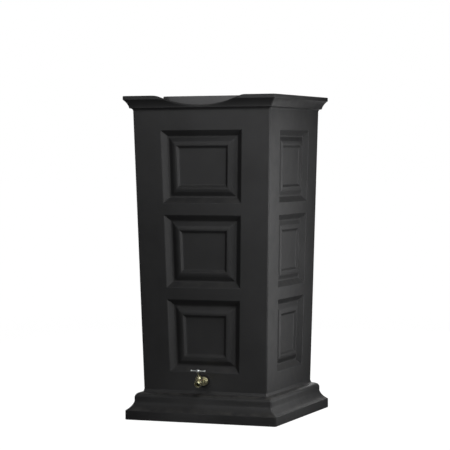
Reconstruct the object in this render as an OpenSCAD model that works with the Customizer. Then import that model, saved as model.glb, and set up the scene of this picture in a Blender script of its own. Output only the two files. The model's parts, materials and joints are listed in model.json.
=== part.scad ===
// Rain barrel with a planter top: a square, tapered, rotationally moulded tank with a
// plinth, three framed panels on each side and a cornice, a planter box and a debris
// screen in the basin on top, and a brass bib tap low on the front.
// Millimetres. +Z is up, the front faces -Y, and the origin is the middle of the footprint.

/* [Tank] */
// Height from the floor to the top of the rim
barrel_h = 1219; // [1180:1:1260]
// Width over the rim, the same front to back
rim_w = 610; // [604:1:620]
// Width over the plinth, the same front to back
plinth_w = 606; // [600:1:620]
// Width of the body where it meets the cornice
body_top_w = 551; // [545:1:555]
// Width of the body where it meets the plinth
body_foot_w = 496; // [488:1:504]
// Thickness of the moulded wall
wall = 5; // [4:0.5:6]
// Radius of the body's upright corners
corner_r = 6; // [4:0.5:8]

/* [Panels] */
// Number of framed panels up each side
panel_count = 3; // [1:1:3]
// Height of one panel
panel_h = 271; // [240:1:280]
// Height of the lowest panel's bottom edge
panel_z = 184; // [180:1:190]
// Distance from one panel's bottom edge to the next one's
panel_pitch = 317; // [300:1:320]
// Width of the plain margin between a panel and the corner
panel_margin = 111; // [100:1:120]

/* [Basin and spill lip] */
// Depth of the basin below the rim
basin_d = 124; // [110:1:126]
// Width of the rim's flat top, from the fascia to the basin
rim_t = 26; // [24:1:28]
// Depth of the overflow dip in the front of the rim
dip_d = 36; // [20:1:40]
// Width of the dip, measured where its arc crosses the rim
dip_w = 350; // [250:1:360]
// Radius of the inlet hole in the basin's floor
inlet_r = 50; // [45:1:52]
// Distance of the inlet behind the middle of the barrel
inlet_y = 178; // [176:1:179]

/* [Planter] */
// Width of the planter box at its rim
planter_w = 360; // [320:1:380]
// Depth of the planter box, front to back, at its rim
planter_l = 350; // [300:1:352]
// Distance of the planter's front wall in front of the middle of the barrel
planter_front = 240; // [236:1:244]
// Wall thickness of the planter box
planter_t = 3.5; // [3:0.5:5]

/* [Tap] */
// Height of the tap's inlet above the floor
tap_z = 152; // [150:1:156]
// Radius of the tap's threaded shank
shank_r = 13; // [12:0.5:13]
// Radius over the hose thread on the outlet
hose_r = 13.45; // [13:0.05:13.5]
// Distance of the spindle from the wall, at the height of the inlet
spindle_n = 46; // [45:0.5:47]
// Lean of the spindle away from the wall, in degrees
spindle_tilt = 20; // [18:1:22]
// Slope of the outlet below level, in degrees
outlet_tilt = 30; // [28:1:32]
// Length of the handle's bar
handle_l = 60; // [50:1:64]

/* [Hidden] */
$fn = 48;

// Colours
moulded_black = [0.16, 0.16, 0.165];
planter_grey = [0.36, 0.36, 0.365];
rubber_black = [0.08, 0.08, 0.08];
brass = [0.74, 0.62, 0.33];
plated = [0.78, 0.78, 0.74];
steel = [0.70, 0.71, 0.72];
fibre_red = [0.45, 0.16, 0.12];

// Clearances
slack = 0.05;      // radial, for one round part turning in another
hole_gap = 0.5;    // radial, for a part that drops through a hole
cut = 2;           // how far a cutting shape stands past the face that it cuts

// Heights of the tank
plinth_h = 110;
cornice_h = 56;
cornice_z = barrel_h - cornice_h;
basin_z = barrel_h - basin_d;

// ---- Profiles and lofts ----

function arc(c, r, a0, a1, n) = [for (i = [0:n]) let (a = a0 + (a1 - a0) * i / n) c + r * [cos(a), sin(a)]];

// Half the width of the body at height z, before any moulding.
function body_hw(z) = body_foot_w / 2 + (body_top_w - body_foot_w) / 2 * (z - plinth_h) / (cornice_z - plinth_h);

// One loop of a rounded rectangle: half sizes hx and hy about [cx, cy], corner radius r.
function loop(hx, hy, r, z, n, cx = 0, cy = 0) = [
    for (q = [0:3], i = [0:n])
        let (sx = (q == 0 || q == 3) ? 1 : -1, sy = q < 2 ? 1 : -1, a = 90 * (q + i / n))
        [cx + sx * (hx - r) + r * cos(a), cy + sy * (hy - r) + r * sin(a), z]
];

// Faces that join m loops of k points each, from the bottom up, with both ends closed.
function loft_faces(m, k) = concat(
    [[for (i = [0:k - 1]) i]],
    [for (j = [0:m - 2], i = [0:k - 1])
        [j * k + i, (j + 1) * k + i, (j + 1) * k + (i + 1) % k, j * k + (i + 1) % k]],
    [[for (i = [k - 1:-1:0]) (m - 1) * k + i]]
);

module loft(loops) {
    polyhedron(points = [for (l = loops) each l], faces = loft_faces(len(loops), len(loops[0])), convexity = 8);
}

// A square loft whose outline is a list of [half width, height].
module square_loft(profile, r, n = 4) {
    loft([for (p = profile) loop(p[0], p[0], r, p[1], n)]);
}

// ---- Tank ----

plinth_hw = plinth_w / 2;
rim_hw = rim_w / 2;
foot_hw = body_foot_w / 2;
neck_hw = body_top_w / 2;
band_hw = plinth_hw - 26.5;      // upright band of the plinth, above its cove
cove_r = 35.4;                   // plinth cove
ovolo_r = 18;                    // rounded top of the plinth
crown_r = 28.3;                  // upper cove of the cornice
crown_hw = rim_hw - 18;          // foot of the cornice's upper cove

// Outside of the tank from the floor to the rim.
outer_profile = concat(
    [[plinth_hw - 2, 0], [plinth_hw, 2], [plinth_hw, 33]],
    arc([band_hw + cove_r, 69], cove_r, 253.8, 180, 6),
    arc([band_hw - ovolo_r, 83], ovolo_r, 0, 80, 5),
    [[foot_hw + 4, 103.5], [foot_hw + 1, 106], [foot_hw, plinth_h]],
    arc([neck_hw + 8.5, cornice_z], 8.5, 180, 100, 4),
    [[crown_hw - 1.5, barrel_h - 46], [crown_hw, barrel_h - 44.5]],
    arc([crown_hw + crown_r, barrel_h - 42], crown_r, 180, 116, 6),
    [[rim_hw, barrel_h - 14], [rim_hw, barrel_h - 2.5], [rim_hw - 2.5, barrel_h]]
);

// Inside of the tank, one wall thickness in.
inner_profile = concat(
    [[plinth_hw - wall, wall], [plinth_hw - wall, 31]],
    arc([band_hw + cove_r, 69], cove_r + wall, 240, 180, 4),
    arc([band_hw - ovolo_r, 83], ovolo_r - wall, 0, 80, 4),
    [[foot_hw - wall + 2.5, 101], [foot_hw - wall, 108], [neck_hw - wall, cornice_z + 1]],
    arc([neck_hw + 8.5, cornice_z + 1], 8.5 + wall, 175, 105, 3),
    arc([crown_hw + crown_r, barrel_h - 42], crown_r + wall, 178, 118, 4),
    [[rim_hw - wall, barrel_h - 11], [rim_hw - wall, barrel_h - wall]]
);

// Section of a panel's frame: [distance in from the panel's edge, depth below the face].
panel_section = [[21, 17.5], [25, 18], [29, 16.5], [36, 12.5], [44, 9.4], [50, 8.2], [58, 8], [66, 15.2], [69, 16]];
bevel = panel_section[0];

// Loop of four points at one step of a panel's frame, on the front face.
function panel_loop(z0, inset, depth) = [
    for (c = [[-1, 0], [1, 0], [1, 1], [-1, 1]])
        let (z = c[1] == 0 ? z0 + inset : z0 + panel_h - inset)
        [c[0] * (body_hw(z) - panel_margin - inset), depth - body_hw(z), z]
];

// Moves every step of a section one wall thickness behind itself.
function behind(section, t) = [
    for (i = [0:len(section) - 1])
        let (a = i == 0 ? -section[1] : section[i - 1],
             b = i == len(section) - 1 ? section[i] + [1, 0] : section[i + 1],
             d1 = i == 0 ? section[1] - section[0] : section[i] - a,
             d2 = b - section[i],
             n1 = [-d1[1], d1[0]] / norm(d1),
             n2 = [-d2[1], d2[0]] / norm(d2))
        section[i] + t * (n1 + n2) / (1 + n1 * n2)
];

// The hollow of one panel on the front face. It starts a little outside the face.
module panel_hollow(z0, t = 0) {
    section = concat([-cut / bevel[1] * bevel], panel_section);
    moved = t == 0 ? section : behind(section, t);
    loft([for (i = [len(moved) - 1:-1:0]) panel_loop(z0, moved[i][0], moved[i][1])]);
}

module all_panel_hollows(t = 0) {
    for (side = [0:3], i = [0:panel_count - 1])
        rotate([0, 0, 90 * side]) panel_hollow(panel_z + panel_pitch * i, t);
}

// The overflow dip, seen from the front: an arc that rolls over into the level rim.
dip_r = (pow(dip_w / 2, 2) + pow(dip_d, 2)) / (2 * dip_d);
dip_cz = barrel_h - dip_d + dip_r;
roll_r = 60;
roll_x = sqrt(pow(dip_r + roll_r, 2) - pow(dip_cz - barrel_h + roll_r, 2));
meet_x = roll_x * dip_r / (dip_r + roll_r);
meet_z = dip_cz - (dip_cz - barrel_h + roll_r) * dip_r / (dip_r + roll_r);

// The dip and everything above it, grown by t, from y0 back to y1.
module dip_hollow(y0, y1, t = 0) {
    top = barrel_h + 2 * cut;
    translate([0, y1, 0]) rotate([90, 0, 0]) linear_extrude(y1 - y0) {
        intersection() {
            translate([0, dip_cz]) circle(dip_r + t, $fn = 180);
            translate([-meet_x, barrel_h - dip_d - 2 * t]) square([2 * meet_x, top - barrel_h + dip_d + 2 * t]);
        }
        for (s = [0, 1]) mirror([s, 0]) difference() {
            translate([meet_x - 1, meet_z - t]) square([roll_x - meet_x + 1, top - meet_z + t]);
            translate([roll_x, barrel_h - roll_r]) circle(roll_r - t, $fn = 120);
        }
    }
}

// The basin in the top, grown by t.
basin_top_hw = rim_hw - rim_t;
basin_foot_hw = 250;
basin_waist_hw = 258;            // at the neck, clear of the body's wall
sump_r = inlet_r + 16;
sump_d = 6;

module basin_hollow(t = 0) {
    square_loft([
        [basin_foot_hw - 4 + t, basin_z - t], [basin_foot_hw + t, basin_z + 4 - t],
        [basin_waist_hw + t, cornice_z], [basin_top_hw - 0.5 + t, barrel_h - 3], [basin_top_hw + 2.5 + t, barrel_h],
        [basin_top_hw + 2.5 + t, barrel_h + cut]
    ], 14 + t);
    translate([0, inlet_y, basin_z - sump_d - t]) cylinder(r = sump_r + t, h = sump_d + 2 * cut);
}

// Flat pad in the front wall that the tap clamps to.
boss_r = 29;
boss_t = 9;
boss_y = -(body_hw(tap_z) + 2);

module tank_cavity() {
    difference() {
        square_loft(inner_profile, corner_r);
        all_panel_hollows(wall);
        basin_hollow(wall);
        dip_hollow(-rim_hw - cut, -basin_foot_hw, wall);
    }
}

module barrel_shell() {
    color(moulded_black) difference() {
        union() {
            difference() {
                square_loft(outer_profile, corner_r);
                all_panel_hollows();
                tank_cavity();
                basin_hollow();
                dip_hollow(-rim_hw - cut, -basin_foot_hw);
            }
            translate([0, boss_y + boss_t, tap_z]) rotate([90, 0, 0]) cylinder(r = boss_r, h = boss_t);
        }
        translate([0, boss_y + boss_t + cut, tap_z]) rotate([90, 0, 0])
            cylinder(r = shank_r + hole_gap, h = boss_t + 2 * cut);
        translate([0, inlet_y, basin_z - sump_d - wall - cut])
            cylinder(r = inlet_r, h = sump_d + wall + 2 * cut);
    }
}

// ---- Planter ----

planter_top = barrel_h - 2;
planter_foot = 10;
planter_floor = basin_z + planter_foot;
planter_draft = 7;
planter_r = 45;
planter_cy = planter_l / 2 - planter_front;
drain_r = 6;

// Loop of the planter at height z, moved in by t.
function planter_loop(z, t) =
    let (lean = planter_draft * (planter_top - z) / (planter_top - planter_floor) + t)
    loop(planter_w / 2 - lean, planter_l / 2 - lean, planter_r - t, z, 8, 0, planter_cy);

module planter_box() {
    inside_floor = planter_floor + planter_t;
    color(planter_grey) difference() {
        union() {
            difference() {
                loft([
                    planter_loop(planter_floor, 3), planter_loop(planter_floor + 3, 0),
                    planter_loop(planter_top - 2, 0), planter_loop(planter_top, 1.5)
                ]);
                loft([
                    planter_loop(inside_floor, planter_t + 3), planter_loop(inside_floor + 3, planter_t),
                    planter_loop(planter_top - 12, planter_t), planter_loop(planter_top - 9, planter_t + 4),
                    planter_loop(planter_top - 2, planter_t + 4), planter_loop(planter_top + cut, planter_t + 2)
                ]);
            }
            for (sx = [-1, 1], sy = [-1, 1])
                translate([sx * 120, planter_cy + sy * 115, basin_z]) cylinder(r = 14, h = planter_foot + 1);
        }
        for (x = [-70, 0, 70], y = [-60, 60])
            translate([x, planter_cy + y, planter_floor - cut]) cylinder(r = drain_r, h = planter_t + 2 * cut);
    }
}

// ---- Debris screen ----

sump_z = basin_z - sump_d;
flange_r = sump_r - 1.5;
flange_t = 4;
skirt_r = inlet_r - hole_gap;
skirt_t = 3;
basket_h = 52;
basket_z = sump_z - basket_h;
ledge_w = 5;
mesh_t = 0.8;

module screen_basket() {
    color(moulded_black) translate([0, inlet_y, 0]) {
        // Flange, skirt and inner ledge in one section
        rotate_extrude() polygon([
            [skirt_r - skirt_t - ledge_w, basket_z], [skirt_r, basket_z], [skirt_r, sump_z], [flange_r - 1, sump_z],
            [flange_r, sump_z + 1], [flange_r, sump_z + flange_t - 1], [flange_r - 1, sump_z + flange_t],
            [skirt_r - skirt_t + 1, sump_z + flange_t], [skirt_r - skirt_t, sump_z + flange_t - 1],
            [skirt_r - skirt_t, basket_z + 3], [skirt_r - skirt_t - ledge_w, basket_z + 3]
        ]);
        // Cross bars under the mesh
        for (a = [0, 60, 120]) rotate([0, 0, a])
            translate([-skirt_r + skirt_t, -1.5, basket_z]) cube([2 * (skirt_r - skirt_t), 3, 3]);
        // Two finger lugs on the flange
        for (s = [0, 180]) rotate([0, 0, s])
            translate([skirt_r + 3, -9, sump_z + flange_t - 1]) cube([3, 18, 13]);
    }
}

module screen_mesh() {
    color(steel) translate([0, inlet_y, basket_z + 3]) cylinder(r = skirt_r - skirt_t - 0.5, h = mesh_t);
}

module screen_mesh_ring() {
    color(moulded_black) translate([0, inlet_y, basket_z + 3 + mesh_t]) rotate_extrude()
        translate([skirt_r - skirt_t - ledge_w, 0]) square([ledge_w - 0.1, 4]);
}

// ---- Tap ----
// The tap's own frame has its origin on the pad's face, -Y away from the wall.

module at_wall() {
    translate([0, boss_y, tap_z]) children();
}

// Solids along the inlet, from n0 to n1 away from the wall.
module along_inlet(n0) {
    translate([0, -n0, 0]) rotate([90, 0, 0]) children();
}

// Solids along the spindle, whose length t is 0 on the valve seat.
module along_spindle(t0 = 0) {
    translate([0, -spindle_n, 0]) rotate([spindle_tilt, 0, 0]) translate([0, 0, t0]) children();
}

// Solids along the outlet, from its root inside the body.
outlet_root = [0, -spindle_n, 4.5];
outlet_l = 25.5;
thread_l = 11;

module along_outlet(s0 = 0) {
    translate(outlet_root) rotate([90 + outlet_tilt, 0, 0]) translate([0, 0, s0]) children();
}

module hexagon(across_flats, h) {
    cylinder(r = across_flats / 2 / cos(30), h = h, $fn = 6);
}

module ring(r_out, r_in, h) {
    difference() {
        cylinder(r = r_out, h = h);
        translate([0, 0, -1]) cylinder(r = r_in, h = h + 2);
    }
}

washer_t = 3;
backing_t = 1.5;
nut_t = 10;
shank_end = -30;         // inner end of the shank
shank_bore = 8;
flange_n = 5.5;          // outer face of the flange that presses on the washer
hex_end = 14;            // outer end of the wrench flats
neck_end = 36;
passage_n = 16;          // root of the sloping passage to the seat
passage_tilt = 15;

// Heights along the spindle, from the valve seat
body_top = 11;           // top face of the body
spigot_z = 6.5;          // foot of the bonnet's thread
relief_z = 9.2;          // top of the clearance above the jumper
thread_top_z = 17;       // top of the bonnet's inner thread
stuffing_z = 18.2;       // foot of the stuffing box
gland_z = 22;            // foot of the gland nut
collar_top = 24;         // top of the bonnet
hub_z = 42;              // foot of the handle's hub
hub_h = 9.5;

body_r = 14;             // barrel of the body, round the spindle
ball_z = -2;             // centre of its round bottom
chamber_r = 10;
seat_hole_r = 5.5;
bonnet_r = 11;           // thread between the bonnet and the body
gasket_t = 1;
spindle_r = 6;           // threaded foot of the spindle
stem_r = 3.5;            // plain part of the spindle
square_w = 5.6;          // square that drives the handle
stud_r = 1.5;

module tap_body() {
    color(brass) at_wall() difference() {
        union() {
            along_inlet(shank_end) cylinder(r = shank_r, h = washer_t - shank_end);
            along_inlet(washer_t) cylinder(r = 17.5, h = flange_n - washer_t);
            along_inlet(flange_n - 0.5) hexagon(29, hex_end - flange_n + 0.5);
            along_inlet(hex_end - 1) cylinder(r = 11.5, h = neck_end - hex_end + 1);
            along_spindle(ball_z) sphere(r = body_r);
            along_spindle(ball_z) cylinder(r = body_r, h = body_top - ball_z);
            along_outlet(6) cylinder(r = 10, h = outlet_l - 8);
            along_outlet(outlet_l - thread_l - 2.5) cylinder(r = 15, h = 2.5);
            along_outlet(outlet_l - thread_l) cylinder(r = hose_r, h = thread_l);
        }
        // Waterway: shank, passage under the seat, seat hole, chamber, outlet
        along_inlet(shank_end - 1) cylinder(r = shank_bore, h = passage_n + 4 - shank_end);
        along_inlet(passage_n) rotate([passage_tilt, 0, 0]) cylinder(r = 4.8, h = 29);
        along_spindle(-9) cylinder(r = seat_hole_r, h = 10);
        along_spindle() cylinder(r = chamber_r, h = spigot_z);
        along_spindle(3) cylinder(r = bonnet_r, h = body_top);
        along_outlet(6) cylinder(r = 7.5, h = outlet_l);
        // Flat face under the bonnet's gasket
        along_spindle(body_top) cylinder(r = 16.5, h = 12);
    }
}

module tap_outer_washer() {
    color(rubber_black) at_wall() along_inlet(0) ring(24, shank_r + 0.2, washer_t);
}

module tap_inner_washer() {
    color(rubber_black) at_wall() along_inlet(-boss_t - washer_t) ring(21, shank_r + 0.2, washer_t);
}

module tap_backing_washer() {
    color(steel) at_wall() along_inlet(-boss_t - washer_t - backing_t) ring(20, shank_r + 0.2, backing_t);
}

module tap_lock_nut() {
    color(brass) at_wall() along_inlet(-boss_t - washer_t - backing_t - nut_t) difference() {
        hexagon(36, nut_t);
        translate([0, 0, -1]) cylinder(r = shank_r + slack, h = nut_t + 2);
    }
}

module tap_bonnet() {
    hex_z = body_top + gasket_t;
    color(brass) at_wall() along_spindle() difference() {
        union() {
            translate([0, 0, spigot_z]) cylinder(r = bonnet_r - slack, h = hex_z - spigot_z + 1);
            translate([0, 0, hex_z]) hexagon(25, 9);
            translate([0, 0, hex_z + 8]) cylinder(r = 8.5, h = collar_top - hex_z - 8);
        }
        translate([0, 0, spigot_z - 1]) cylinder(r = 8.6, h = relief_z - spigot_z + 1);
        translate([0, 0, spigot_z]) cylinder(r = spindle_r + slack, h = thread_top_z - spigot_z);
        translate([0, 0, spigot_z]) cylinder(r = stem_r + slack, h = collar_top - spigot_z);
        translate([0, 0, stuffing_z]) cylinder(r = spindle_r + slack, h = collar_top);
    }
}

module tap_bonnet_gasket() {
    color(fibre_red) at_wall() along_spindle(body_top) ring(body_r - 0.5, bonnet_r + 0.1, gasket_t);
}

module tap_packing() {
    color(rubber_black) at_wall() along_spindle(stuffing_z) ring(spindle_r, stem_r + slack, gland_z - stuffing_z);
}

module tap_gland_nut() {
    color(brass) at_wall() along_spindle() difference() {
        union() {
            translate([0, 0, gland_z]) cylinder(r = spindle_r, h = collar_top - gland_z + 1);
            translate([0, 0, collar_top + 0.2]) hexagon(14, 4);
        }
        translate([0, 0, gland_z - 1]) cylinder(r = stem_r + slack, h = 10);
    }
}

// The seat washer, its nut and the jumper slide along the spindle's line without turning.
seat_gap = 0.05;
jumper_foot = 3;
jumper_top = 4.6;
pin_r = 2.5;
pin_top = 10;
nut_h = 2.2;

module tap_seat_washer() {
    color(rubber_black) at_wall() along_spindle(seat_gap) ring(7.5, stud_r + 0.05, jumper_foot - seat_gap);
}

module tap_jumper() {
    color(brass) at_wall() along_spindle() {
        translate([0, 0, jumper_foot]) cylinder(r = 8, h = jumper_top - jumper_foot);
        translate([0, 0, jumper_top - 0.5]) cylinder(r = pin_r, h = pin_top - jumper_top + 0.5);
        translate([0, 0, seat_gap - nut_h - 1]) cylinder(r = stud_r, h = jumper_foot - seat_gap + nut_h + 1.5);
    }
}

module tap_washer_nut() {
    color(brass) at_wall() along_spindle(seat_gap - nut_h) difference() {
        hexagon(5.5, nut_h);
        translate([0, 0, -1]) cylinder(r = stud_r + 0.03, h = nut_h + 2);
    }
}

// The spindle turns in the bonnet and rises with the jumper under it.
spindle_foot = jumper_top + 0.1;
spindle_thread_l = 8.1;

module tap_spindle() {
    thread_top = spindle_foot + spindle_thread_l;
    color(brass) at_wall() along_spindle() difference() {
        union() {
            translate([0, 0, spindle_foot]) cylinder(r = spindle_r, h = spindle_thread_l);
            translate([0, 0, thread_top - 1]) cylinder(r = stem_r, h = hub_z - thread_top + 1);
            translate([-square_w / 2, -square_w / 2, hub_z - 1]) cube([square_w, square_w, hub_h]);
        }
        translate([0, 0, spindle_foot - 1]) cylinder(r = pin_r + slack, h = pin_top - spindle_foot + 1.3);
        translate([0, 0, hub_z + 1]) cylinder(r = stud_r + 0.03, h = hub_h);
    }
}

bar_r = 2.3;
knob_r = 3.6;
bar_z = hub_z + 5.5;
knob_x = handle_l / 2 - knob_r;

// The bar and its two knobs, turned in one piece about its own Z.
module handle_bar() {
    knob_foot = acos(bar_r / knob_r);
    end = arc([0, knob_x], knob_r, -knob_foot, 90, 10);
    rotate_extrude() polygon(concat([[0, -knob_x - knob_r]], [for (i = [9:-1:0]) [end[i][0], -end[i][1]]], end));
}

module tap_handle() {
    color(plated) at_wall() along_spindle() difference() {
        union() {
            translate([0, 0, hub_z]) cylinder(r1 = 5.2, r2 = 6, h = 3);
            translate([0, 0, hub_z + 2.9]) cylinder(r = 6, h = hub_h - 2.9);
            translate([0, 0, bar_z]) rotate([0, 90, 0]) handle_bar();
        }
        translate([-square_w / 2 - slack, -square_w / 2 - slack, hub_z - 1])
            cube([square_w + 2 * slack, square_w + 2 * slack, hub_h]);
        translate([0, 0, hub_z]) cylinder(r = stud_r + 0.2, h = hub_h + 1);
    }
}

module tap_handle_screw() {
    color(steel) at_wall() along_spindle() {
        translate([0, 0, hub_z + 2]) cylinder(r = stud_r, h = hub_h - 1.5);
        translate([0, 0, hub_z + hub_h]) difference() {
            cylinder(r = 3.8, h = 2.2);
            translate([-5, -0.5, 1.2]) cube([10, 1, 2]);
        }
    }
}

barrel_shell();
planter_box();
screen_basket();
screen_mesh();
screen_mesh_ring();
tap_body();
tap_outer_washer();
tap_inner_washer();
tap_backing_washer();
tap_lock_nut();
tap_bonnet();
tap_bonnet_gasket();
tap_packing();
tap_gland_nut();
tap_spindle();
tap_jumper();
tap_seat_washer();
tap_washer_nut();
tap_handle();
tap_handle_screw();
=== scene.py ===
"""Rain barrel with a planter top: the visual model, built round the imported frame.

Lengths in this script are millimetres until a mesh is made, and MM turns them into metres.
The front faces -Y and +Z is up, as in the frame.
"""
import json
import math

import bmesh
import bpy
from mathutils import Matrix, Vector
from mathutils.geometry import tessellate_polygon


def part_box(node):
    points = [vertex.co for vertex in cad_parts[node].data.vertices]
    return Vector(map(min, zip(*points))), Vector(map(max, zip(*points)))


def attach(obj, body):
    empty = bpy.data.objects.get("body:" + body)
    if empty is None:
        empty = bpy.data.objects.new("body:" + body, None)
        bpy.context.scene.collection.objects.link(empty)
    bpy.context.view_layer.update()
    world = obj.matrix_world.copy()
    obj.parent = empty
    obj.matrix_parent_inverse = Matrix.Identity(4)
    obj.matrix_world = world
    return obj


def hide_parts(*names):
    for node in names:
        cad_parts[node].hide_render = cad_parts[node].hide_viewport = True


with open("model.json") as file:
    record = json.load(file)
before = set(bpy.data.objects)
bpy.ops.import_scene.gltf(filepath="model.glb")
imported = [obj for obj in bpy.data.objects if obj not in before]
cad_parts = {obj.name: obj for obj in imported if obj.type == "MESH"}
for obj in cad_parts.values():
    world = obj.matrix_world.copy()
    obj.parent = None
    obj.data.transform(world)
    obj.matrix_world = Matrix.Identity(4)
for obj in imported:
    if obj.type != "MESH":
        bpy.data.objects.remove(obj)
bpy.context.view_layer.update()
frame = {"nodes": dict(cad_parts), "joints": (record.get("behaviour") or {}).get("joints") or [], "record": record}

MM = 0.001
X, Y, Z = Vector((1, 0, 0)), Vector((0, 1, 0)), Vector((0, 0, 1))

# ---- Sizes from the frame ----

shell_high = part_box("barrel_shell")[1] / MM
planter_low, planter_high = [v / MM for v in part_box("planter_box")]
basket_low, basket_high = [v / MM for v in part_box("screen_basket")]
mesh_low, mesh_high = [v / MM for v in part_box("screen_mesh")]
washer_low, washer_high = [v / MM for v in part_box("tap_outer_washer")]

joints = {j["name"]: j for j in frame["joints"]}
mounts = {m["name"]: m for m in frame["record"]["mounts"]}

RIM_HW = shell_high.x                 # half the width over the rim
RIM_Z = shell_high.z
PLINTH_HW = RIM_HW - 2                # the plinth is a little narrower than the rim
FOOT_HW = RIM_HW - 57                 # body where it meets the plinth
NECK_HW = RIM_HW - 29.5               # body where it meets the cornice
PLINTH_Z = 110
NECK_Z = RIM_Z - 56
CORNER_R = 6
INSIDE_R = 2                          # upright corners of the tank's inner skin
WALL = 5

PANEL_COUNT = 3
PANEL_H = 271
PANEL_Z = 184                         # foot of the lowest panel
PANEL_PITCH = 317
PANEL_MARGIN = 111                    # from the body's edge to a panel

FLOOR_Z = RIM_Z - 124                 # basin floor
FLOOR_HW = 250
WAIST_HW = 258                        # basin at the height of the neck
MOUTH_HW = RIM_HW - 25.4
BASIN_R = 14
INLET = (basket_low + basket_high) / 2
INLET_R = 50
SUMP_R = 66
SUMP_D = 6
ROUND_N = 96                          # sides of the large circles

DIP_D = 36                            # overflow dip in the front rim
DIP_W = 350
ROLL_R = 60                           # where the dip rolls into the level rim
RIM_EDGE_R = 3
DIP_EDGE_MORE = 3.5                   # how much rounder the edge is in the dip

TAP_X = (washer_low.x + washer_high.x) / 2
TAP_Z = (washer_low.z + washer_high.z) / 2
PAD_Y = washer_high.y                 # face that the tap is clamped to
PAD_R = 29
PAD_T = 9
PAD_N = 48
PAD_EDGE = ((0, 0), (0.1, 0.3), (0.3, 0.75), (1, 1))    # (inset, share of the pad's height)
TAP_HOLE_R = 13.5


# ---- Outlines ----

def arc(cx, cy, r, start, end, n):
    """Points on an arc, from start to end in degrees."""
    angles = [math.radians(start + (end - start) * i / n) for i in range(n + 1)]
    return [(cx + r * math.cos(a), cy + r * math.sin(a)) for a in angles]


def rounded(corners, n=3):
    """A polyline through (x, y) or (x, y, radius) corners, with each radius rounded off in n steps."""
    out = []
    for i, corner in enumerate(corners):
        here = Vector(corner[:2])
        radius = corner[2] if len(corner) > 2 else 0
        if radius == 0 or i in (0, len(corners) - 1):
            out.append(tuple(here))
            continue
        back, ahead = Vector(corners[i - 1][:2]) - here, Vector(corners[i + 1][:2]) - here
        turn = math.pi - back.angle(ahead)
        run = min(radius * math.tan(turn / 2), 0.48 * back.length, 0.48 * ahead.length)
        first, last = here + back.normalized() * run, here + ahead.normalized() * run
        for k in range(n + 1):
            t = k / n
            out.append(tuple(first * (1 - t) ** 2 + here * 2 * t * (1 - t) + last * t * t))
    return out


def along(outline, z):
    """x at height z on an outline of (x, z) that only rises."""
    for (x0, z0), (x1, z1) in zip(outline, outline[1:]):
        if z <= z1 and z1 > z0:
            return x0 + (x1 - x0) * max(0, z - z0) / (z1 - z0)
    return outline[-1][0]


def body_hw(z):
    """Half the width of the plain body at height z."""
    z = min(max(z, PLINTH_Z), NECK_Z)
    return FOOT_HW + (NECK_HW - FOOT_HW) * (z - PLINTH_Z) / (NECK_Z - PLINTH_Z)


def dip_z(x):
    """Height of the front rim at x, where the overflow dip lowers it."""
    r = ((DIP_W / 2) ** 2 + DIP_D ** 2) / (2 * DIP_D)
    centre = RIM_Z - DIP_D + r
    roll_x = math.sqrt((r + ROLL_R) ** 2 - (centre - RIM_Z + ROLL_R) ** 2)
    x = abs(x)
    if x >= roll_x:
        return RIM_Z
    if x >= roll_x * r / (r + ROLL_R):
        return RIM_Z - ROLL_R + math.sqrt(ROLL_R ** 2 - (roll_x - x) ** 2)
    return centre - math.sqrt(r ** 2 - x ** 2)


# ---- Mesh helpers ----

def new_object(name, bm, merge=0.005):
    """The finished mesh as an object in metres.

    Vertices nearer than merge are joined, and normals point outwards.
    """
    bmesh.ops.remove_doubles(bm, verts=bm.verts, dist=merge)
    bmesh.ops.dissolve_degenerate(bm, edges=bm.edges, dist=merge / 5)
    bmesh.ops.recalc_face_normals(bm, faces=bm.faces)
    bm.transform(Matrix.Scale(MM, 4))
    mesh = bpy.data.meshes.new(name)
    bm.to_mesh(mesh)
    bm.free()
    obj = bpy.data.objects.new(name, mesh)
    bpy.context.scene.collection.objects.link(obj)
    return obj


def shade(obj, sharp=34, weighted=True):
    """Smooth shading, with creases kept where the surface turns by more than sharp degrees."""
    obj.data.shade_smooth()
    obj.data.set_sharp_from_angle(angle=math.radians(sharp))
    if weighted:
        normals = obj.modifiers.new("face normals", "WEIGHTED_NORMAL")
        normals.keep_sharp = True
        normals.weight = 50


def finished(obj, body, replaces, material, sharp=34, weighted=True):
    """Shades a piece, gives it its material, and ties it to the frame."""
    shade(obj, sharp, weighted)
    obj.data.materials.clear()
    obj.data.materials.append(material)
    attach(obj, body)
    if replaces:
        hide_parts(*replaces)
    return obj


def verts_of(bm, points):
    return [bm.verts.new(p) for p in points]


def stitch(bm, a, b, closed=True):
    """Quads between two loops with the same number of vertices."""
    n = len(a)
    for i in range(n if closed else n - 1):
        j = (i + 1) % n
        bm.faces.new((a[i], a[j], b[j], b[i]))


def fill(bm, *loops):
    """Triangles over a flat region. The first loop is its outline and the others are holes in it."""
    verts = [v for loop in loops for v in loop]
    for tri in tessellate_polygon([[v.co for v in loop] for loop in loops]):
        bm.faces.new([verts[i] for i in tri])


def circle(centre, r, n, u=X, v=Y):
    """n points round a centre, in the plane of u and v."""
    angles = [2 * math.pi * i / n for i in range(n)]
    return [centre + u * (r * math.cos(a)) + v * (r * math.sin(a)) for a in angles]


# ---- Barrel shell ----
# The outside is a grid of rings. Every ring has the same columns, which run up the sides
# along the steps of the panels' frames, so each mitre falls on a diagonal of the grid.

SECTION = rounded([                   # (inset from the frame's outer edge, depth)
    (-10, 0), (0, 0, 4.5), (20, 17.4, 4), (26, 17.8, 5), (32, 14.9, 8), (41, 10.2, 14),
    (50, 8.3, 6), (57.5, 8.0, 3.5), (65.5, 15.2, 4), (70, 16),
], 2)[1:]
SECTION_STEPS = [s for s, depth in SECTION]
MARGIN_STEPS = (0.03, 0.07, 0.12, 0.17, 0.24, 0.34, 0.5, 0.72, 1)
MIDDLE_STEPS = (-0.67, -0.33, 0, 0.33, 0.67)
CORNER_N = 6

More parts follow.
